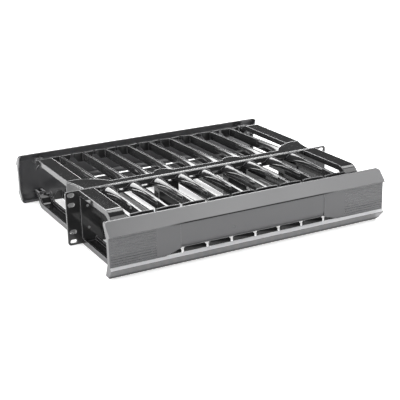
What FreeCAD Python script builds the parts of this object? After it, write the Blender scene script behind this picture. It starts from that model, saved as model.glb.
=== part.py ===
import FreeCAD, Part
import os
import re
import Sketcher

# Horizontal cable manager for a 19 inch rack, two units high, with fingers and a hinged cover at the
# front and at the rear. Millimetres. X runs along the width, Y to the rear and Z up.
# The origin is the centre of the ears' front plane.

doc = FreeCAD.newDocument("cable_manager")
sheet = doc.addObject("Spreadsheet::Sheet", "sizes")

SIZES = {
    # mounting panel and its ears
    "rack_width": 482.6,
    "panel_height": 88.1,
    "panel_wall": 3,
    "ear_corner": 4,
    "slot_spacing": 465.1,
    "slot_outer_rows": 76.2,
    "slot_inner_rows": 44.45,
    "slot_length": 11,
    "slot_width": 6.6,
    "window_height": 55,
    "centre_window": 93.1,
    "side_window": 75.5,
    "post_width": 35,
    "peep_length": 11,
    "peep_height": 3,
    "peep_level": 33,
    # shelves, posts and end guides behind the panel
    "shelf_wall": 2.5,
    "shelf_reach": 20,
    "post_reach": 33,
    "post_hollow": 19,
    "guide_reach": 54,
    "guide_hollow": 42,
    "guide_start": 157,
    "guide_half": 219.5,
    "guide_flare": 10.5,
    "guide_flat": 15.5,
    "sweep_across": 0.43,
    "sweep_back": 0.65,
    "flare_share": 0.72,
    "hollow_split": 0.6,
    "hollow_wall": 3,
    "relief_play": 0.6,
    "relief_start": 17,
    "relief_level": 23.3,
    # fingers
    "finger_count": 9,
    "finger_pitch": 42.7,
    "finger_wall": 4,
    "finger_root_width": 26,
    "finger_top": 43,
    "finger_drop": 3.5,
    "finger_lap": 2,
    "rim_level": 36,
    "rim_side": 3,
    "rim_belly": 0.8,
    "web_bottom": 24.3,
    "tip_width": 38,
    "tip_wall": 2.4,
    "tip_sweep": 2.4,
    "tip_gap": 18,
    "tip_sag": 0.5,
    "tip_foot": 22.3,
    "tip_bend": 17,
    "tip_shoulder": 33,
    "tip_taper": 8,
    "rail_wall": 4,
    "rail_height": 8,
    "rail_half": 183.5,
    # brackets with their arms and hinge hooks
    "bracket_wall": 3,
    "bracket_inset": 0.8,
    "front_plate_width": 34.7,
    "rear_plate_width": 25,
    "arm_width": 25,
    "arm_wall": 3,
    "arm_lip": 9,
    "arm_bend": 40,
    "arm_end": 19,
    "arm_turn": 27.4,
    "arm_sag": 4.4,
    "neck_width": 6,
    "neck_height": 6,
    "neck_drop": 6.5,
    "hook_inset": 13.7,
    "hook_radius": 6,
    # hinge pins
    "pin_diameter": 5,
    "pin_play": 0.5,
    "pin_level": 31,
    "front_pin": 146,
    "rear_pin": 232,
    "lug_gap": 0.4,
    "lug_wall": 3.6,
    "lug_radius": 5,
    "lug_base": 1.5,
    "lug_sink": 0.4,
    # covers
    "cover_width": 480,
    "cover_height": 86.8,
    "cover_wall": 2.5,
    "edge_out": 8,
    "lip_out": 24,
    "face_out": 19,
    "lip_level": 25.5,
    "lip_edge": 1.4,
    "undercut": 1.8,
    "ledge_level": 22.9,
    "ledge_drop": 2.8,
    "lower_lip": 26.6,
    "bead_depth": 1.5,
    "bead_height": 4,
    "bead_slope": 6,
    "cover_corner": 5,
    "field_depth": 0.7,
    "field_margin": 0.5,
    "return_depth": 8,
    "return_rise": 6.4,
    "return_wall": 2.5,
    "rib_count": 11,
    "rib_pitch": 3.9,
    "groove_height": 1.5,
    "groove_depth": 0.7,
    "rib_start": 166,
    "rib_end": 237.5,
    "rib_shift": 1,
    "scoop_half": 126,
    "scoop_flare": 26,
    "flare_height": 8,
    "scoop_height": 15.4,
    "scoop_depth": 10,
    "scoop_gap": 4.9,
    "scoop_lap": 2,
    "scoop_edge": 2,
    "scoop_bow": 3.8,
    "scoop_bow_level": 7.9,
    "scoop_inner_bow": 2.9,
    "scoop_inner_level": 9.5,
    # screws
    "screw_diameter": 4,
    "screw_head": 8,
    "screw_head_height": 3,
    "screw_inset": 11.7,
    "screw_level": 18,
}
for row, (alias, number) in enumerate(SIZES.items(), start=1):
    sheet.set("A%d" % row, alias)
    sheet.set("B%d" % row, str(number))
    sheet.setAlias("B%d" % row, alias)
doc.recompute()


def bound(text):
    """The expression with each size name pointed at its cell."""
    return re.sub(r"[a-z_]+", lambda m: "sizes." + m.group() if m.group() in SIZES else m.group(), str(text))


def number(text):
    """The expression's value now, in millimetres."""
    value = sheet.evalExpression(bound(text))
    return float(getattr(value, "Value", value))


# Places along X that follow from the end guides.
GUIDE_FRONT = "(guide_half - guide_flare)"
GUIDE_FLAT = "(guide_half - guide_flat)"
BRACKET_HALF = "(guide_half - bracket_inset)"
HOOK_HALF = "(guide_half - bracket_inset - hook_inset)"
SCREW_HALF = "(guide_half - bracket_inset - screw_inset)"

# Along a finger's head: the distance from the root, then its share of the root's width and of the drop.
HEAD_STATIONS = ((0, 1.0, 0.0), (14, 0.86, 0.1), (38, 0.47, 0.33), (66, 0.28, 0.62), (96, 0.18, 1.0))

# Each sketch plane: the origin plane's role, and whether its normal points along the world axis.
PLANES = {"Z": ("XY_Plane", 1), "Y": ("XZ_Plane", -1), "X": ("YZ_Plane", 1)}
SUB_PARTS = []


def new_body(name):
    """An empty body whose label is the node's name."""
    body = doc.addObject("PartDesign::Body", name)
    body.Label = name
    SUB_PARTS.append(body)
    return body


def place_point(sketch, geometry, vertex, point):
    """Dimensions a sketch point from the origin, bound to the sheet."""
    for kind, text in zip(("DistanceX", "DistanceY"), point):
        index = sketch.addConstraint(
            Sketcher.Constraint(kind, -1, 1, geometry, vertex, number(text)))
        sketch.setExpression("Constraints[%d]" % index, bound(text))


def vector(point):
    """A sketch point as a vector."""
    return FreeCAD.Vector(number(point[0]), number(point[1]), 0)


def draw_loop(sketch, corners):
    """A closed outline. A corner (x, y) starts a line and ("arc", via, x, y) ends an arc through via."""
    ends = [corner[-2:] for corner in corners]
    edges = []
    for i, corner in enumerate(corners):
        begin, end = (vector(ends[i - 1]), vector(ends[i]))
        if corner[0] == "arc":
            # A sketch keeps its arcs anticlockwise, so a clockwise one is drawn from its far end.
            via = vector(corner[1])
            forward = (via - begin).cross(end - via).z > 0
            curve = Part.Arc(begin, via, end) if forward else Part.Arc(end, via, begin)
        else:
            forward = True
            curve = Part.LineSegment(begin, end)
        edge = sketch.addGeometry(curve, False)
        edges.append((edge, 1, 2) if forward else (edge, 2, 1))
    for (edge, first, last), end in zip(edges, ends):
        place_point(sketch, edge, last, end)
    for (before, other, leave), (edge, enter, last) in zip(edges[-1:] + edges[:-1], edges):
        sketch.addConstraint(Sketcher.Constraint("Coincident", before, leave, edge, enter))
    for (edge, first, last), corner in zip(edges, corners):
        if corner[0] == "arc":
            middle = sketch.addGeometry(Part.Point(vector(corner[1])), True)
            place_point(sketch, middle, 1, corner[1])
            sketch.addConstraint(Sketcher.Constraint("PointOnObject", middle, 1, edge))


def draw_circle(sketch, x, y, diameter):
    """A circle by its centre and diameter."""
    index = sketch.addGeometry(
        Part.Circle(vector((x, y)), FreeCAD.Vector(0, 0, 1), number(diameter) / 2), False)
    place_point(sketch, index, 3, (x, y))
    row = sketch.addConstraint(Sketcher.Constraint("Diameter", index, number(diameter)))
    sketch.setExpression("Constraints[%d]" % row, bound(diameter))


def new_sketch(body, axis, place, loops):
    """A sketch across one world axis, at a place along it. A loop of three texts is a circle."""
    role, sign = PLANES[axis]
    plane = [f for f in body.Origin.OriginFeatures if f.Role == role][0]
    sketch = body.newObject("Sketcher::SketchObject", body.Name + "_sketch")
    sketch.AttachmentSupport = [(plane, "")]
    sketch.MapMode = "FlatFace"
    sketch.setExpression("AttachmentOffset.Base.z", bound("%d * (%s)" % (sign, place)))
    for loop in loops:
        if isinstance(loop[0], str):
            draw_circle(sketch, *loop)
        else:
            draw_loop(sketch, loop)
    return sketch


def pad(body, axis, low, high, loops):
    """Adds material between two places along a world axis."""
    place = low if PLANES[axis][1] > 0 else high
    sketch = new_sketch(body, axis, place, loops)
    feature = body.newObject("PartDesign::Pad", body.Name + "_pad")
    feature.Profile = sketch
    feature.setExpression("Length", bound("(%s) - (%s)" % (high, low)))
    return feature


def pocket(body, axis, low, high, loops):
    """Removes material between two places along a world axis."""
    place = high if PLANES[axis][1] > 0 else low
    doc.recompute()
    before = body.Shape.Volume
    sketch = new_sketch(body, axis, place, loops)
    feature = body.newObject("PartDesign::Pocket", body.Name + "_pocket")
    feature.Profile = sketch
    feature.setExpression("Length", bound("(%s) - (%s)" % (high, low)))
    doc.recompute()
    if not body.Shape.Volume < before - 1e-3:
        raise RuntimeError("a pocket in %s removes nothing" % body.Label)
    return feature


def repeat(body, originals, role, spacing, count):
    """Copies features in a row along one of the body's origin axes."""
    pattern = body.newObject("PartDesign::LinearPattern", body.Name + "_row")
    pattern.Originals = originals
    axis = [f for f in body.Origin.OriginFeatures if f.Role == role][0]
    pattern.Direction = (axis, [""])
    pattern.setExpression("Length", bound("(%s) * (%s - 1)" % (spacing, count)))
    pattern.setExpression("Occurrences", bound(count))
    body.Tip = pattern
    return pattern


def box_loop(left, right, low, high):
    """A rectangle's corners."""
    return [(left, low), (right, low), (right, high), (left, high)]


def slot_loop(x, y, length, width):
    """A slot with round ends, long along the first axis."""
    flat = "(%s - %s) / 2" % (length, width)
    tip = "(%s) / 2" % length
    half = "(%s) / 2" % width
    return [("%s + %s" % (x, flat), "%s - %s" % (y, half)),
            ("arc", ("%s + %s" % (x, tip), y), "%s + %s" % (x, flat), "%s + %s" % (y, half)),
            ("%s - %s" % (x, flat), "%s + %s" % (y, half)),
            ("arc", ("%s - %s" % (x, tip), y), "%s - %s" % (x, flat), "%s - %s" % (y, half))]


def make_panel():
    """The front wall with its ears, rack slots, windows and small slots over the windows."""
    body = new_body("mounting_panel")
    half = "rack_width / 2"
    tall = "panel_height / 2"
    turn = "(1 - cos(45)) * ear_corner"
    outline = [("%s - ear_corner" % half, "-" + tall),
               ("arc", ("%s - %s" % (half, turn), "%s - %s" % (turn, tall)), half, "ear_corner - " + tall),
               (half, "%s - ear_corner" % tall),
               ("arc", ("%s - %s" % (half, turn), "%s - %s" % (tall, turn)), "%s - ear_corner" % half, tall),
               ("ear_corner - " + half, tall),
               ("arc", ("%s - %s" % (turn, half), "%s - %s" % (tall, turn)),
                "-" + half, "%s - ear_corner" % tall),
               ("-" + half, "ear_corner - " + tall),
               ("arc", ("%s - %s" % (turn, half), "%s - %s" % (turn, tall)),
                "ear_corner - " + half, "-" + tall)]
    pad(body, "Y", "0", "panel_wall", [outline])
    slots = []
    for side in ("-", ""):
        for row in ("-slot_outer_rows", "-slot_inner_rows", "slot_inner_rows", "slot_outer_rows"):
            slots.append(slot_loop(side + "slot_spacing / 2", row + " / 2", "slot_length", "slot_width"))
    pocket(body, "Y", "0", "panel_wall", slots)
    side_left = "centre_window / 2 + post_width"
    side_right = side_left + " + side_window"
    windows = [box_loop("-centre_window / 2", "centre_window / 2", "-window_height / 2", "window_height / 2"),
               box_loop(side_left, side_right, "-window_height / 2", "window_height / 2"),
               box_loop("-(%s)" % side_right, "-(%s)" % side_left, "-window_height / 2", "window_height / 2")]
    pocket(body, "Y", "0", "panel_wall", windows)
    first = "-(finger_count - 2) / 2 * finger_pitch"
    pair = [box_loop(first + " - peep_length / 2", first + " + peep_length / 2",
                     level + "peep_level - peep_height / 2", level + "peep_level + peep_height / 2")
            for level in ("-", "")]
    cut = pocket(body, "Y", "0", "panel_wall", pair)
    repeat(body, [cut], "X_Axis", "finger_pitch", "finger_count - 1")
    pocket(body, "Y", "0", "panel_wall",
           [(side + SCREW_HALF, level + "screw_level", "screw_diameter")
            for side in ("-", "") for level in ("-", "")])
    return body


def post_loop(side):
    """A post's plan: square at the panel and round at the rear."""
    near = side + "centre_window / 2"
    middle = side + "(centre_window / 2 + post_width / 2)"
    far = side + "(centre_window / 2 + post_width)"
    return [(near, "panel_wall"), (near, "shelf_reach"),
            ("arc", (middle, "post_reach"), far, "shelf_reach"), (far, "panel_wall")]


def guide_loop(side):
    """An end guide's plan: its inner curve sweeps back and out to the bracket."""
    across = "(guide_start + (%s - guide_start) * sweep_across)" % GUIDE_FLAT
    back = "shelf_reach + (guide_reach - shelf_reach) * sweep_back"
    return [(side + "guide_start", "panel_wall"), (side + "guide_start", "shelf_reach"),
            ("arc", (side + across, back), side + GUIDE_FLAT, "guide_reach"),
            (side + "guide_half", "guide_reach"),
            ("arc", (side + "(guide_half - guide_flare * flare_share)", "guide_reach / 2"),
             side + GUIDE_FRONT, "panel_wall")]


def root_reliefs(centre):
    """Room for one finger root at the top and one at the bottom, as outlines seen from the front."""
    half = "(finger_root_width / 2 + relief_play)"
    left, right = ("%s - %s" % (centre, half), "%s + %s" % (centre, half))
    return [box_loop(left, right, "relief_level", "panel_height / 2"),
            box_loop(left, right, "-panel_height / 2", "-relief_level")]


def make_posts():
    """Rounded posts between the windows, hollow towards the panel."""
    inside = "(panel_height / 2 - shelf_wall)"
    hollow = "(%s - hollow_wall)" % inside
    near = "(centre_window / 2 + hollow_wall)"
    far = "(centre_window / 2 + post_width - hollow_wall)"
    for side, name in (("-", "left"), ("", "right")):
        body = new_body(name + "_post")
        pad(body, "Z", "-" + inside, inside, [post_loop(side)])
        left, right = ("-" + far, "-" + near) if side else (near, far)
        pocket(body, "Y", "panel_wall", "post_hollow", [box_loop(left, right, "-" + hollow, hollow)])
        reliefs = root_reliefs(side + "finger_pitch") + root_reliefs(side + "2 * finger_pitch")
        pocket(body, "Y", "relief_start", "post_reach", reliefs)


def make_end_guides():
    """Curved blocks behind the ears, hollow towards the panel, with room for the last fingers."""
    inside = "(panel_height / 2 - shelf_wall)"
    hollow = "(%s - hollow_wall)" % inside
    split = "(guide_start + (%s - guide_start) * hollow_split)" % GUIDE_FLAT
    spans = (("(guide_start + hollow_wall)", "((guide_start + %s) / 2)" % GUIDE_FLAT, "relief_start"),
             (split, "(%s - screw_head / 2)" % SCREW_HALF, "guide_hollow"))
    for side, name in (("-", "left"), ("", "right")):
        body = new_body(name + "_end_guide")
        pad(body, "Z", "-" + inside, inside, [guide_loop(side)])
        for near, far, depth in spans:
            left, right = ("-" + far, "-" + near) if side else (near, far)
            pocket(body, "Y", "panel_wall", depth, [box_loop(left, right, "-" + hollow, hollow)])
        pocket(body, "Y", "relief_start", "guide_reach",
               root_reliefs(side + "(finger_count - 1) / 2 * finger_pitch"))
        pocket(body, "Y", "panel_wall", "guide_reach",
               [(side + SCREW_HALF, level + "screw_level", "screw_diameter") for level in ("-", "")])


def flip(text, level):
    """A height for the upper row, or its mirror for the lower row."""
    return text if level == "" else "-(%s)" % text


def add_fingers(body, root, tip, ahead, level):
    """Nine fingers from root to tip. Each has a web, a head that flares at the root, and a cross plate.

    ahead is 1 for fingers that run to the rear and -1 for those that run to the front.
    """
    first = "-(finger_count - 1) / 2 * finger_pitch"

    def along(distance):
        return "%s + %d * (%s)" % (root, ahead, distance)

    bend = "%s - %d * tip_bend" % (tip, ahead)
    crest_end = "finger_top - finger_drop"
    web = [(root, flip("web_bottom", level)), (tip, flip("web_bottom", level)),
           (tip, flip(crest_end + " - tip_sag", level)), (bend, flip(crest_end, level)),
           (root, flip("finger_top", level))]
    blade = pad(body, "X", first + " - finger_wall / 2", first + " + finger_wall / 2", [web])
    under = flip("rim_level - rim_side", level)
    belly = flip("rim_level - rim_side - rim_belly", level)
    sections = []
    for distance, width, fall in HEAD_STATIONS:
        left = "%s - finger_root_width * %s / 2" % (first, width)
        right = "%s + finger_root_width * %s / 2" % (first, width)
        crest = flip("finger_top - finger_drop * %s" % fall, level)
        loop = [(left, under), ("arc", (first, belly), right, under), (right, flip("rim_level", level)),
                ("arc", (first, crest), left, flip("rim_level", level))]
        sections.append(new_sketch(body, "Y", along(str(distance)), [loop]))
    head = body.newObject("PartDesign::AdditiveLoft", body.Name + "_head")
    head.Profile = sections[0]
    head.Sections = sections[1:]
    # The cross plate at the tip bows towards the cover at both ends and narrows inward.
    left, right = (first + " - tip_width / 2", first + " + tip_width / 2")
    back = "%s - %d * tip_wall" % (tip, ahead)
    bow = [(left, "%s + %d * (tip_sweep - tip_wall)" % (tip, ahead)),
           ("arc", (first, back), right, "%s + %d * (tip_sweep - tip_wall)" % (tip, ahead)),
           (right, "%s + %d * tip_sweep" % (tip, ahead)),
           ("arc", (first, tip), left, "%s + %d * tip_sweep" % (tip, ahead))]
    low, high = ("tip_foot", crest_end + " - tip_sag")
    if level:
        low, high = (flip(high, level), flip(low, level))
    plate = pad(body, "Z", low, high, [bow])
    near, far = (back, "%s + %d * tip_sweep" % (tip, ahead))
    if ahead < 0:
        near, far = (far, near)
    shoulder, foot = (flip("tip_shoulder", level), flip("tip_foot", level))
    tapers = [[(left, foot), (left + " + tip_taper", foot), (left, shoulder)],
              [(right + " - tip_taper", foot), (right, foot), (right, shoulder)]]
    taper = pocket(body, "Y", near, far, tapers)
    repeat(body, [blade, head, plate, taper], "X_Axis", "finger_pitch", "finger_count")


def make_front_combs():
    """Base rails on the panel's front face, with their fingers."""
    for level, name in (("", "front_top_comb"), ("-", "front_bottom_comb")):
        body = new_body(name)
        low, high = ("panel_height / 2 - rail_height", "panel_height / 2")
        if level:
            low, high = ("-panel_height / 2", "rail_height - panel_height / 2")
        pad(body, "Z", low, high, [box_loop("-rail_half", "rail_half", "-rail_wall", "0")])
        add_fingers(body, "0", "tip_gap - front_pin", -1, level)


def make_rear_combs():
    """Wavy shelves behind the panel, with their fingers."""
    for level, name in (("", "rear_top_comb"), ("-", "rear_bottom_comb")):
        body = new_body(name)
        low, high = ("panel_height / 2 - shelf_wall", "panel_height / 2")
        if level:
            low, high = ("-panel_height / 2", "shelf_wall - panel_height / 2")
        right_post, left_post = (post_loop(""), post_loop("-"))
        right_guide, left_guide = (guide_loop(""), guide_loop("-"))
        outline = [(GUIDE_FRONT, "panel_wall"), ("arc", right_guide[4][1], "guide_half", "guide_reach"),
                   (GUIDE_FLAT, "guide_reach"),
                   ("arc", right_guide[2][1], "guide_start", "shelf_reach"),
                   ("centre_window / 2 + post_width", "shelf_reach"),
                   ("arc", right_post[2][1], "centre_window / 2", "shelf_reach"),
                   ("-centre_window / 2", "shelf_reach"), left_post[2], left_guide[1],
                   left_guide[2], left_guide[3], left_guide[4]]
        pad(body, "Z", low, high, [outline])
        add_fingers(body, "shelf_reach - finger_lap", "rear_pin - tip_gap", 1, level)


def make_bracket(name, side, face, ahead, pin, plate_width):
    """A plate with an upper and a lower arm. Each arm is a channel that bends in to a hinge hook."""
    body = new_body(name)
    inner, outer = ("%s - %s" % (BRACKET_HALF, plate_width), BRACKET_HALF)
    if side:
        inner, outer = ("-" + BRACKET_HALF, "%s - %s" % (plate_width, BRACKET_HALF))
    plate_low, plate_high = (face, face + " + bracket_wall")
    if ahead < 0:
        plate_low, plate_high = (face + " - bracket_wall", face)
    tall = "panel_height / 2"
    pad(body, "Y", plate_low, plate_high, [box_loop(inner, outer, "-" + tall, tall)])
    bend = "%s - %d * arm_bend" % (pin, ahead)
    end = "%s - %d * arm_end" % (pin, ahead)
    turn = "%s - %d * arm_turn" % (pin, ahead)
    inner_turn = "%s - %d * (arm_turn + arm_wall / 2)" % (pin, ahead)
    neck_top = "pin_level - neck_drop + neck_height / 2"
    neck_foot = "pin_level - neck_drop - neck_height / 2"
    # The hook is a ring round the pin, open towards the cover by the pin's width and play.
    slot = "(pin_diameter / 2 + pin_play)"
    reach = "sqrt(hook_radius * hook_radius - %s * %s)" % (slot, slot)
    mouth = "%s + %d * %s" % (pin, ahead, reach)
    cheek = "%s + %d * %s * sqrt(0.5)" % (pin, ahead, reach)
    cheek_rise = "sqrt(hook_radius * hook_radius - %s * %s / 2)" % (reach, reach)
    for level in ("", "-"):
        arm_in, arm_out = (BRACKET_HALF + " - arm_width", BRACKET_HALF)
        if side:
            arm_in, arm_out = ("-" + BRACKET_HALF, "arm_width - " + BRACKET_HALF)
        top = [(face, flip(tall, level)), (bend, flip(tall, level)),
               ("arc", (turn, flip(tall + " - arm_sag", level)), end, flip(neck_top, level)),
               (end, flip(neck_top + " - arm_wall", level)),
               ("arc", (inner_turn, flip(tall + " - arm_sag - arm_wall", level)),
                bend, flip(tall + " - arm_wall", level)),
               (face, flip(tall + " - arm_wall", level))]
        pad(body, "X", arm_in, arm_out, [top])
        lip = [(face, flip(tall, level)), (bend, flip(tall, level)),
               ("arc", (turn, flip(tall + " - arm_sag", level)), end, flip(neck_top, level)),
               (end, flip(neck_foot, level)), (bend, flip(tall + " - arm_lip", level)),
               (face, flip(tall + " - arm_lip", level))]
        edges = ((BRACKET_HALF + " - arm_wall", BRACKET_HALF),
                 (BRACKET_HALF + " - arm_width", BRACKET_HALF + " - arm_width + arm_wall"))
        for low, high in edges:
            if side:
                low, high = ("-(%s)" % high, "-(%s)" % low)
            pad(body, "X", low, high, [lip])
        hook_low, hook_high = (side + HOOK_HALF + " - neck_width / 2", side + HOOK_HALF + " + neck_width / 2")
        neck = [(end, flip(neck_top, level)), (end, flip(neck_foot, level)),
                (pin, flip("pin_level - hook_radius", level)),
                ("arc", (cheek, flip("pin_level - " + cheek_rise, level)),
                 mouth, flip("pin_level - " + slot, level)),
                (pin, flip("pin_level - " + slot, level)),
                ("arc", ("%s - %d * %s" % (pin, ahead, slot), flip("pin_level", level)),
                 pin, flip("pin_level + " + slot, level)),
                (mouth, flip("pin_level + " + slot, level)),
                ("arc", (cheek, flip("pin_level + " + cheek_rise, level)),
                 pin, flip("pin_level + hook_radius", level)),
                ("arc", ("%s - %d * hook_radius * sqrt(0.5)" % (pin, ahead),
                         flip("pin_level + hook_radius * sqrt(0.5)", level)),
                 "%s - %d * hook_radius" % (pin, ahead), flip("pin_level", level))]
        pad(body, "X", hook_low, hook_high, [neck])
    holes = [(side + SCREW_HALF, level + "screw_level", "screw_diameter") for level in ("-", "")]
    pocket(body, "Y", plate_low, plate_high, holes)
    return body


def make_brackets():
    """Two brackets on the panel's front face and two on the end guides' rear faces."""
    for side, word in (("-", "left"), ("", "right")):
        make_bracket("front_%s_bracket" % word, side, "0", -1, "-front_pin", "front_plate_width")
        make_bracket("rear_%s_bracket" % word, side, "guide_reach", 1, "rear_pin", "rear_plate_width")


def make_cover(name):
    """A cover drawn at the front: a bevelled trough with an undercut lip, a ledge and a scooped slot."""
    body = new_body(name)

    def out(distance):
        return "-front_pin - (%s)" % distance

    tall = "cover_height / 2"
    # The bevel's run and rise, and the wall's thickness measured level across it.
    run = "(lip_out - edge_out)"
    rise = "(%s - lip_level)" % tall
    level_wall = "(cover_wall * sqrt(%s * %s + %s * %s) / %s)" % (run, run, rise, rise, rise)
    inner_edge = "(edge_out - %s)" % level_wall
    face_in = "(face_out - cover_wall)"
    knee = "(%s - (%s - %s) * %s / %s)" % (tall, face_in, inner_edge, rise, run)
    bead_out = "(%s + bead_slope * %s / %s)" % (inner_edge, run, rise)
    section = [(out("edge_out"), tall), (out("lip_out"), "lip_level"),
               (out("lip_out"), "lip_level - lip_edge"), (out("face_out"), "lip_level - lip_edge - undercut"),
               (out("face_out"), "-ledge_level"), (out("lip_out"), "-ledge_level - ledge_drop"),
               (out("lip_out"), "-lower_lip"), (out("edge_out"), "-" + tall),
               (out(inner_edge + " - bead_depth"), "-" + tall),
               (out(inner_edge + " - bead_depth"), "bead_height - " + tall),
               (out(bead_out), "bead_slope - " + tall), (out(face_in), "-" + knee), (out(face_in), knee),
               (out(inner_edge), tall)]
    half = "cover_width / 2"
    pad(body, "X", "-" + half, half, [section])
    # End returns follow the outer outline.
    rim = section[:8] + [(out("edge_out - return_depth"), "-" + tall),
                         (out("face_out - return_depth"), "return_rise - lip_level"),
                         (out("face_out - return_depth"), "lip_level - return_rise"),
                         (out("edge_out - return_depth"), tall)]
    pad(body, "X", "-" + half, "return_wall - " + half, [rim])
    pad(body, "X", half + " - return_wall", half, [rim])
    # Hinge lugs in pairs, one at each side of a hook.
    lug_start = "(neck_width / 2 + lug_gap)"
    lug_end = "(neck_width / 2 + lug_gap + lug_wall)"
    reach = "(%s + lug_sink)" % face_in
    high_reach = "(%s + (%s - pin_level - lug_radius) * %s / %s + lug_sink)" % (inner_edge, tall, run, rise)
    for side in ("-", ""):
        for level in ("", "-"):
            lug = [(out(reach), flip("pin_level - lug_radius", level)),
                   (out(reach), flip("pin_level - lug_base", level)),
                   (out(high_reach), flip("pin_level + lug_radius", level)),
                   (out("0"), flip("pin_level + lug_radius", level)),
                   ("arc", (out("-lug_radius"), flip("pin_level", level)),
                    out("0"), flip("pin_level - lug_radius", level))]
            for shift in ("-" + lug_end, "+ " + lug_start):
                low = "%s%s %s" % (side, HOOK_HALF, shift)
                pad(body, "X", low, low + " + lug_wall", [lug])
            hook = side + HOOK_HALF
            pocket(body, "X", "%s - %s" % (hook, lug_end), "%s + %s" % (hook, lug_end),
                   [(out("0"), flip("pin_level", level), "pin_diameter")])
    # Rounded corners, seen from the front.
    turn = "(1 - sqrt(0.5)) * cover_corner"
    corners = []
    for side in ("-", ""):
        for level in ("", "-"):
            edge, top = (side + half, flip(tall, level))
            corners.append([(edge, top), (edge, flip(tall + " - cover_corner", level)),
                            ("arc", ("%s(%s - %s)" % (side, half, turn),
                                     flip("%s - %s" % (tall, turn), level)),
                             "%s(%s - cover_corner)" % (side, half), top)])
    pocket(body, "Y", out("lip_out"), out("edge_out - return_depth"), corners)
    # Ribbed ends: grooves between flat ribs.
    low = "rib_shift - (rib_count - 1) / 2 * rib_pitch - groove_height / 2"
    pair = [box_loop("rib_start", "rib_end", low, low + " + groove_height"),
            box_loop("-rib_end", "-rib_start", low, low + " + groove_height")]
    groove = pocket(body, "Y", out("face_out"), out("face_out - groove_depth"), pair)
    repeat(body, [groove], "Z_Axis", "rib_pitch", "rib_count")
    # The slot over the ledge, with its flared ends, then the scoop that curls in over it.
    shoulder = "scoop_height - ledge_level"
    slot = [("-scoop_half - scoop_flare", "-ledge_level"), ("scoop_half + scoop_flare", "-ledge_level"),
            ("scoop_half", "flare_height - ledge_level"), ("scoop_half", shoulder),
            ("-scoop_half", shoulder), ("-scoop_half", "flare_height - ledge_level")]
    pocket(body, "Y", out("face_out"), out(face_in), [slot])
    field_out = "(face_out - field_depth)"
    field_top = "lip_level - lip_edge - undercut - field_margin"
    field = box_loop("-scoop_half", "scoop_half", shoulder, field_top)
    pocket(body, "Y", out("face_out"), out(field_out), [field])
    scoop = [(out(field_out), shoulder),
             ("arc", (out("face_out - scoop_bow"), "scoop_bow_level - ledge_level"),
              out("face_out - scoop_depth"), "scoop_gap - ledge_level"),
             (out("face_out - scoop_depth"), "scoop_gap + scoop_edge - ledge_level"),
             ("arc", (out(face_in + " - scoop_inner_bow"), "scoop_inner_level - ledge_level"),
              out(face_in), shoulder + " + scoop_lap"),
             (out(field_out), shoulder + " + scoop_lap")]
    pad(body, "X", "-scoop_half", "scoop_half", [scoop])
    return body


def make_covers():
    """The front cover, and the same moulding turned round at the rear."""
    make_cover("front_cover")
    rear = make_cover("rear_cover")
    rear.Placement.Rotation = FreeCAD.Rotation(FreeCAD.Vector(0, 0, 1), 180)
    rear.setExpression("Placement.Base.y", bound("rear_pin - front_pin"))


def make_pins():
    """Eight hinge pins, each pressed into a pair of lugs."""
    length = "(neck_width / 2 + lug_gap + lug_wall)"
    for end, place in (("front", "-front_pin"), ("rear", "rear_pin")):
        for side, word in (("-", "left"), ("", "right")):
            for level, row in (("", "top"), ("-", "bottom")):
                body = new_body("%s_%s_%s_pin" % (end, row, word))
                hook = side + HOOK_HALF
                pad(body, "X", "%s - %s" % (hook, length), "%s + %s" % (hook, length),
                    [(place, flip("pin_level", level), "pin_diameter")])


def make_screws():
    """Four long screws from the rear brackets through to the front ones, as one group."""
    members = []
    for side in ("-", ""):
        for level in ("-", ""):
            shank = doc.addObject("Part::Cylinder", "shank")
            head = doc.addObject("Part::Cylinder", "head")
            shank.setExpression("Radius", bound("screw_diameter / 2"))
            shank.setExpression("Height", bound("guide_reach + 2 * bracket_wall"))
            head.setExpression("Radius", bound("screw_head / 2"))
            head.setExpression("Height", bound("screw_head_height"))
            for item, start in ((shank, "guide_reach + bracket_wall"),
                                (head, "guide_reach + bracket_wall + screw_head_height")):
                item.Placement.Rotation = FreeCAD.Rotation(FreeCAD.Vector(1, 0, 0), 90)
                item.setExpression("Placement.Base.x", bound(side + SCREW_HALF))
                item.setExpression("Placement.Base.y", bound(start))
                item.setExpression("Placement.Base.z", bound(level + "screw_level"))
            screw = doc.addObject("Part::Fuse", "screw")
            screw.Base = shank
            screw.Tool = head
            members.append(screw)
    group = doc.addObject("Part::Compound", "frame_screws")
    group.Links = members
    group.Label = "frame_screws"
    SUB_PARTS.append(group)


make_panel()
make_front_combs()
make_rear_combs()
make_posts()
make_end_guides()
make_brackets()
make_covers()
make_pins()
make_screws()
doc.recompute()

for item in doc.Objects:
    if "Invalid" in item.State or "Error" in item.State:
        raise RuntimeError("%s did not build: %s" % (item.Label, item.State))
for part in SUB_PARTS:
    if part.Shape.isNull() or not part.Shape.isValid():
        raise RuntimeError("%s has no valid shape" % part.Label)

os.makedirs("parts", exist_ok=True)
for part in SUB_PARTS:
    part.Shape.exportStep("parts/%s.step" % part.Label)
    box = part.Shape.BoundBox
    print("%-22s solids %d volume %.0f  x %.1f %.1f  y %.1f %.1f  z %.1f %.1f" % (
        part.Label, len(part.Shape.Solids), part.Shape.Volume,
        box.XMin, box.XMax, box.YMin, box.YMax, box.ZMin, box.ZMax))
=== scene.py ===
import math

import bpy
from mathutils import Matrix, Vector


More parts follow.
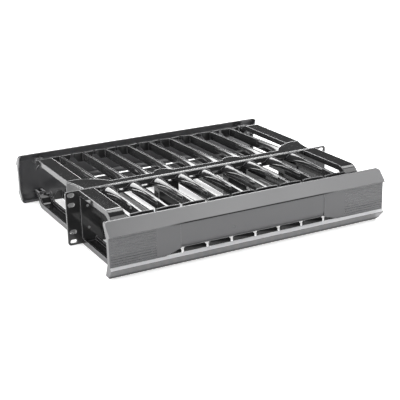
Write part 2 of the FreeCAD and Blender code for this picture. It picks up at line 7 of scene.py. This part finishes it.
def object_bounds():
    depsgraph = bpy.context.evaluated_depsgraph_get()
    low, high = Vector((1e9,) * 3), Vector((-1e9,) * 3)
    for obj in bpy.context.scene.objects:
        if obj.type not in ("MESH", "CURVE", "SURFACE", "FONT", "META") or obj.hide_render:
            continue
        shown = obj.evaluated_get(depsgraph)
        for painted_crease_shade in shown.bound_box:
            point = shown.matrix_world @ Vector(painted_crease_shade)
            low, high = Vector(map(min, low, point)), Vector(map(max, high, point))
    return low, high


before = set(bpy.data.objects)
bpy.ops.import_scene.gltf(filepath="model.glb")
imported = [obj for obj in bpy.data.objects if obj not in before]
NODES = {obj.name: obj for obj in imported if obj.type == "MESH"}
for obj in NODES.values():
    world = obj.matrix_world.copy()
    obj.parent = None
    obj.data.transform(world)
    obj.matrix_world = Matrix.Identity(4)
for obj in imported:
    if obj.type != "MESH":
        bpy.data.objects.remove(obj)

CAD_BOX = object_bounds()
SCENE = bpy.context.scene

# Radius of the moulded edges, as the light sees them.
BLACK_EDGE = 0.0016
COVER_EDGE = 0.0005

# Heights on the covers at rest, as pairs that a mask fades between: the ledge under the slot, where a
# highlight is painted, the painted shadow line under the upper band, and the level below which painted shade
# darkens the creases.
PAINTED_HIGHLIGHT_TOP = (-0.0219, -0.0225)
PAINTED_HIGHLIGHT_FOOT = (-0.0268, -0.0261)
SHADOW_LINE_FOOT = (0.0215, 0.0221)
SHADOW_LINE_TOP = (0.0262, 0.0257)
SHADOW_LINE_END = (0.150, 0.120)
PAINTED_SHADE_TOP = (-0.005, -0.009)
PAINTED_SHADE_REACH = 0.008

FLOOR_REACH = 6.0
FLOOR_GAP = 0.0002
FLOOR_GLOW = 0.56
AMBIENT = 0.30
CEILING_GLOW = 0.06

# The point that most lamps face.
CENTRE = (0.0, 0.05, 0.0)

# Each lamp: name, place, the point it faces, width and height in metres, power in watts.
LAMPS = (
    ("back_softbox", (0.4, 3.9, 2.42), CENTRE, (4.6, 1.30), 135),
    ("right_back_softbox", (2.05, 3.4, 0.30), CENTRE, (1.8, 0.5), 9),
    ("left_back_softbox", (-1.5, 1.15, 0.42), CENTRE, (1.1, 0.5), 18),
    ("overhead_softbox", (0.75, 0.50, 1.45), CENTRE, (1.3, 0.8), 20),
    ("upper_front_softbox", (0.90, -0.94, 1.42), CENTRE, (1.6, 0.9), 18),
    ("left_softbox", (-1.7, 0.2, 0.50), CENTRE, (0.8, 0.8), 12),
    ("front_softbox", (1.3, -2.0, 0.35), CENTRE, (1.2, 0.5), 14),
    ("left_front_softbox", (-1.3, -1.5, 0.50), (-0.2, 0.0, 0.0), (0.9, 0.7), 12),
)


def make_camera():
    """The photograph's viewpoint, found by fitting the frame's corners to it."""
    yaw, pitch, roll = 0.4761, 0.3312, -0.0286
    forward = Vector((math.sin(yaw) * math.cos(pitch),
                      math.cos(yaw) * math.cos(pitch), -math.sin(pitch)))
    level = Vector((math.cos(yaw), -math.sin(yaw), 0))
    upward = level.cross(forward)
    right = math.cos(roll) * level + math.sin(roll) * upward
    up = -math.sin(roll) * level + math.cos(roll) * upward
    data = bpy.data.cameras.new("camera")
    data.lens = 87.59
    data.sensor_width = 36
    data.clip_start, data.clip_end = 0.05, 50
    camera = bpy.data.objects.new("camera", data)
    turn = Matrix((right, up, -forward)).transposed().to_4x4()
    camera.matrix_world = Matrix.Translation((-0.70784, -1.35674, 0.51428)) @ turn
    SCENE.collection.objects.link(camera)
    SCENE.camera = camera


class Tree:
    """A material's node tree, with short calls for the nodes used here."""

    def __init__(self, name):
        self.material = bpy.data.materials.new(name)
        self.material.use_nodes = True
        self.nodes = self.material.node_tree.nodes
        self.links = self.material.node_tree.links
        self.shader = self.nodes["Principled BSDF"]
        self.spots = self.add("ShaderNodeTexCoord").outputs
        self.place = self.spots["Object"]

    def add(self, kind, **settings):
        node = self.nodes.new(kind)
        for key, value in settings.items():
            setattr(node, key, value)
        return node

    def join(self, source, target):
        if isinstance(source, (int, float, tuple)):
            target.default_value = source
        else:
            self.links.new(source, target)

    def give(self, socket, source):
        """Set one of the shader's own sockets."""
        self.join(source, self.shader.inputs[socket])

    def maths(self, operation, *values):
        node = self.add("ShaderNodeMath", operation=operation)
        for socket, value in zip(node.inputs, values):
            self.join(value, socket)
        return node.outputs[0]

    def times(self, first, second):
        return self.maths("MULTIPLY", first, second)

    def ranged(self, value, low, high, to_low=0.0, to_high=1.0):
        """The value's place between two ends, carried over to two others and held there."""
        node = self.add("ShaderNodeMapRange")
        for socket, item in zip(node.inputs, (value, low, high, to_low, to_high)):
            self.join(item, socket)
        return node.outputs[0]

    def between(self, value, rising, falling):
        """1 between two fades and 0 outside them."""
        return self.times(self.ranged(value, *rising), self.ranged(value, *falling))

    def stretched(self, scale):
        node = self.add("ShaderNodeMapping")
        self.join(self.place, node.inputs["Vector"])
        node.inputs["Scale"].default_value = scale
        return node.outputs[0]

    def noise(self, scale, detail, stretch=None, rough=0.5):
        node = self.add("ShaderNodeTexNoise")
        self.join(self.stretched(stretch) if stretch else self.place, node.inputs["Vector"])
        node.inputs["Scale"].default_value = scale
        node.inputs["Detail"].default_value = detail
        node.inputs["Roughness"].default_value = rough
        return node.outputs["Fac"]

    def blend(self, factor, first, second):
        node = self.add("ShaderNodeMix", data_type="RGBA")
        self.join(factor, node.inputs[0])
        self.join(first + (1.0,) if isinstance(first, tuple) else first, node.inputs[6])
        self.join(second + (1.0,) if isinstance(second, tuple) else second, node.inputs[7])
        return node.outputs[2]

    def bump(self, height, strength, distance, normal=None):
        node = self.add("ShaderNodeBump")
        node.inputs["Strength"].default_value = strength
        node.inputs["Distance"].default_value = distance
        self.join(height, node.inputs["Height"])
        if normal is not None:
            self.join(normal, node.inputs["Normal"])
        return node.outputs["Normal"]

    def rounded(self, radius):
        """The normal of a face whose edges are rounded."""
        node = self.add("ShaderNodeBevel", samples=16)
        node.inputs["Radius"].default_value = radius
        return node.outputs["Normal"]

    def edge(self, normal):
        """1 along a rounded edge and 0 on a flat face."""
        flat = self.add("ShaderNodeNewGeometry").outputs["Normal"]
        node = self.add("ShaderNodeVectorMath", operation="DOT_PRODUCT")
        self.join(flat, node.inputs[0])
        self.join(normal, node.inputs[1])
        return self.ranged(node.outputs["Value"], 0.995, 0.80)

    def crease(self, reach):
        """1 in the open and less in a narrow corner."""
        node = self.add("ShaderNodeAmbientOcclusion", samples=6)
        node.inputs["Distance"].default_value = reach
        return node.outputs["AO"]

    def parted(self, vector):
        """A vector's X, Y and Z."""
        split = self.add("ShaderNodeSeparateXYZ")
        self.join(vector, split.inputs[0])
        return split.outputs

    def rise(self):
        """How far a face of the closed part looks up: 1 for a flat top, 0 for a wall, -1 for an underside."""
        return self.parted(self.spots["Normal"])["Z"]


def black_plastic():
    """Glossy black moulding: faint flow marks, soft sink marks and edges made paler in patches, which is wear
    and partly a painted highlight.
    """
    tree = Tree("black_gloss_plastic")
    soft = tree.rounded(BLACK_EDGE)
    flow = tree.noise(18, 4)
    sink = tree.noise(45, 2)
    tint = tree.blend(flow, (0.018, 0.018, 0.0183), (0.027, 0.027, 0.0275))
    # Edges made paler in patches: wear, and partly a painted highlight.
    worn_and_highlit_edges = tree.times(tree.edge(soft), tree.ranged(tree.noise(140, 3), 0.35, 0.65, 0.45, 1.0))
    tree.give("Base Color", tree.blend(worn_and_highlit_edges, tint, (0.30, 0.30, 0.31)))
    tree.give("Roughness", tree.ranged(flow, 0.3, 0.7, 0.06, 0.09))
    tree.give("Normal", tree.bump(sink, 0.02, 0.001, soft))
    tree.give("IOR", 1.50)
    return tree.material


def cover_plastic():
    """Satin dark grey moulding: a fine grain, edges paler in patches (wear, and partly a painted highlight),
    a painted highlight on the ledge under the slot, a painted shadow line under the upper band and painted
    shade in the creases.
    """
    tree = Tree("cover_satin_plastic")
    soft = tree.rounded(COVER_EDGE)
    flow = tree.noise(9, 4)
    grain = tree.noise(1500, 2, rough=0.6)
    tint = tree.blend(flow, (0.044, 0.044, 0.047), (0.056, 0.056, 0.059))
    speck = tree.blend(tree.ranged(grain, 0.35, 0.65, 0.0, 0.12), tint, (0.05, 0.05, 0.052))
    # Edges made paler in patches: wear, and partly a painted highlight.
    worn_and_highlit_edges = tree.times(tree.edge(soft), tree.ranged(tree.noise(120, 3), 0.3, 0.7, 0.2, 0.7))
    across, _, height = tree.parted(tree.place)
    rise = tree.rise()

    # Painted highlight: the ledge under the slot is made pale between fixed heights.
    painted_ledge_highlight = tree.times(tree.between(height, PAINTED_HIGHLIGHT_TOP, PAINTED_HIGHLIGHT_FOOT), tree.ranged(rise, 0.76, 0.84))
    before_painted_shade = tree.blend(painted_ledge_highlight, tree.blend(worn_and_highlit_edges, speck, (0.42, 0.42, 0.43)), (0.54, 0.54, 0.55))

    # Painted shade: creases below the slot are darkened where the occlusion is high.
    below = tree.times(tree.ranged(height, *PAINTED_SHADE_TOP), tree.ranged(rise, 0.3, 0.1))
    painted_crease_shade = tree.times(tree.ranged(tree.crease(PAINTED_SHADE_REACH), 0.85, 0.45), below)
    # Painted shadow: a dark line under the upper band, across the middle of the cover.
    within = tree.ranged(tree.maths("ABSOLUTE", across), *SHADOW_LINE_END)
    painted_shadow_line = tree.times(tree.between(height, SHADOW_LINE_FOOT, SHADOW_LINE_TOP), within)
    shade = tree.maths("MAXIMUM", painted_crease_shade, painted_shadow_line)

    # The painted shade darkens the colour and lowers the reflection.
    tree.give("Base Color", tree.blend(tree.times(shade, 0.92), before_painted_shade, (0.010, 0.010, 0.011)))
    tree.give("IOR", tree.ranged(shade, 0.0, 1.0, 1.72, 1.2))
    tree.give("Roughness", tree.ranged(flow, 0.3, 0.7, 0.27, 0.34))
    tree.give("Normal", tree.bump(grain, 0.06, 0.0002, soft))
    return tree.material


def steel(name, low, high, rough):
    """Turned steel: fine rings along the length and small dark handling marks."""
    tree = Tree(name)
    rings = tree.noise(2600, 2, stretch=(1.0, 0.05, 0.05))
    marks = tree.noise(260, 4)
    tree.give("Base Color", tree.blend(marks, low, high))
    tree.give("Metallic", 1.0)
    tree.give("Roughness", tree.ranged(marks, 0.3, 0.7, rough, rough + 0.15))
    tree.give("Normal", tree.bump(rings, 0.08, 0.0001))
    return tree.material


def dress(node, material):
    slots = NODES[node].data.materials
    if not slots:
        slots.append(material)
    for i in range(len(slots)):
        slots[i] = material


def dress_nodes():
    black = black_plastic()
    cover = cover_plastic()
    pin = steel("pin_steel", (0.42, 0.42, 0.43), (0.62, 0.62, 0.63), 0.22)
    screw = steel("screw_steel", (0.30, 0.30, 0.31), (0.50, 0.50, 0.50), 0.30)
    for name in NODES:
        if name.endswith("_cover"):
            dress(name, cover)
        elif name.endswith("_pin"):
            dress(name, pin)
        elif name == "frame_screws":
            dress(name, screw)
        else:
            dress(name, black)


def seen_rays(tree):
    """1 for rays that see the background: from the camera, or off or through the object."""
    rays = tree.nodes.new("ShaderNodeLightPath")
    total = rays.outputs["Is Camera Ray"]
    for kind in ("Is Glossy Ray", "Is Transmission Ray"):
        node = tree.nodes.new("ShaderNodeMath")
        node.operation = "MAXIMUM"
        tree.links.new(total, node.inputs[0])
        tree.links.new(rays.outputs[kind], node.inputs[1])
        total = node.outputs[0]
    return total


def make_world():
    """White for the camera. Gloss shows that white up to just over the horizon, and a dim ceiling above."""
    world = bpy.data.worlds.new("studio")
    world.use_nodes = True
    SCENE.world = world
    tree = world.node_tree
    ambient = tree.nodes["Background"]
    ambient.inputs["Color"].default_value = (0.97, 0.98, 1.0, 1.0)
    ambient.inputs["Strength"].default_value = AMBIENT
    rays = tree.nodes.new("ShaderNodeLightPath")
    spot = tree.nodes.new("ShaderNodeTexCoord")
    split = tree.nodes.new("ShaderNodeSeparateXYZ")
    tree.links.new(spot.outputs["Generated"], split.inputs[0])
    fade = tree.nodes.new("ShaderNodeMapRange")
    fade.interpolation_type = "SMOOTHSTEP"
    fade.inputs["From Min"].default_value = 0.04
    fade.inputs["From Max"].default_value = 0.20
    fade.inputs["To Min"].default_value = 1.0
    fade.inputs["To Max"].default_value = CEILING_GLOW
    tree.links.new(split.outputs["Z"], fade.inputs["Value"])
    room = tree.nodes.new("ShaderNodeBackground")
    tree.links.new(fade.outputs[0], room.inputs["Strength"])
    white = tree.nodes.new("ShaderNodeBackground")
    for node in (room, white):
        node.inputs["Color"].default_value = (1.0, 1.0, 1.0, 1.0)
    last = ambient
    for shown, kind in ((room, "Is Glossy Ray"), (white, "Is Transmission Ray"), (white, "Is Camera Ray")):
        mix = tree.nodes.new("ShaderNodeMixShader")
        tree.links.new(rays.outputs[kind], mix.inputs["Fac"])
        tree.links.new(last.outputs[0], mix.inputs[1])
        tree.links.new(shown.outputs[0], mix.inputs[2])
        last = mix
    tree.links.new(last.outputs[0], tree.nodes["World Output"].inputs["Surface"])


def make_floor():
    """A plain pale floor under the part, which keeps its shadow."""
    level = CAD_BOX[0].z - FLOOR_GAP
    mesh = bpy.data.meshes.new("floor")
    corners = [(-FLOOR_REACH, -FLOOR_REACH, level), (FLOOR_REACH, -FLOOR_REACH, level),
               (FLOOR_REACH, FLOOR_REACH, level), (-FLOOR_REACH, FLOOR_REACH, level)]
    mesh.from_pydata(corners, [], [(0, 1, 2, 3)])
    floor = bpy.data.objects.new("floor", mesh)
    SCENE.collection.objects.link(floor)
    material = bpy.data.materials.new("pale_floor")
    material.use_nodes = True
    tree = material.node_tree
    shader = tree.nodes["Principled BSDF"]
    shader.inputs["Base Color"].default_value = (0.86, 0.86, 0.86, 1.0)
    shader.inputs["Roughness"].default_value = 0.9
    glow = tree.nodes.new("ShaderNodeEmission")
    glow.inputs["Color"].default_value = (1.0, 1.0, 1.0, 1.0)
    scale = tree.nodes.new("ShaderNodeMath")
    scale.operation = "MULTIPLY"
    scale.inputs[1].default_value = FLOOR_GLOW
    tree.links.new(seen_rays(tree), scale.inputs[0])
    tree.links.new(scale.outputs[0], glow.inputs["Strength"])
    both = tree.nodes.new("ShaderNodeAddShader")
    tree.links.new(shader.outputs[0], both.inputs[0])
    tree.links.new(glow.outputs[0], both.inputs[1])
    tree.links.new(both.outputs[0], tree.nodes["Material Output"].inputs["Surface"])
    mesh.materials.append(material)


def make_lamp(name, place, target, size, power):
    data = bpy.data.lights.new(name, "AREA")
    data.shape = "RECTANGLE"
    data.size, data.size_y = size
    data.energy = power
    lamp = bpy.data.objects.new(name, data)
    lamp.location = place
    aim = Vector(target) - Vector(place)
    lamp.rotation_mode = "QUATERNION"
    lamp.rotation_quaternion = aim.to_track_quat("-Z", "Y")
    SCENE.collection.objects.link(lamp)


def make_studio():
    SCENE.view_settings.view_transform = "Standard"
    make_world()
    make_floor()
    for lamp in LAMPS:
        make_lamp(*lamp)


make_camera()
dress_nodes()
make_studio()
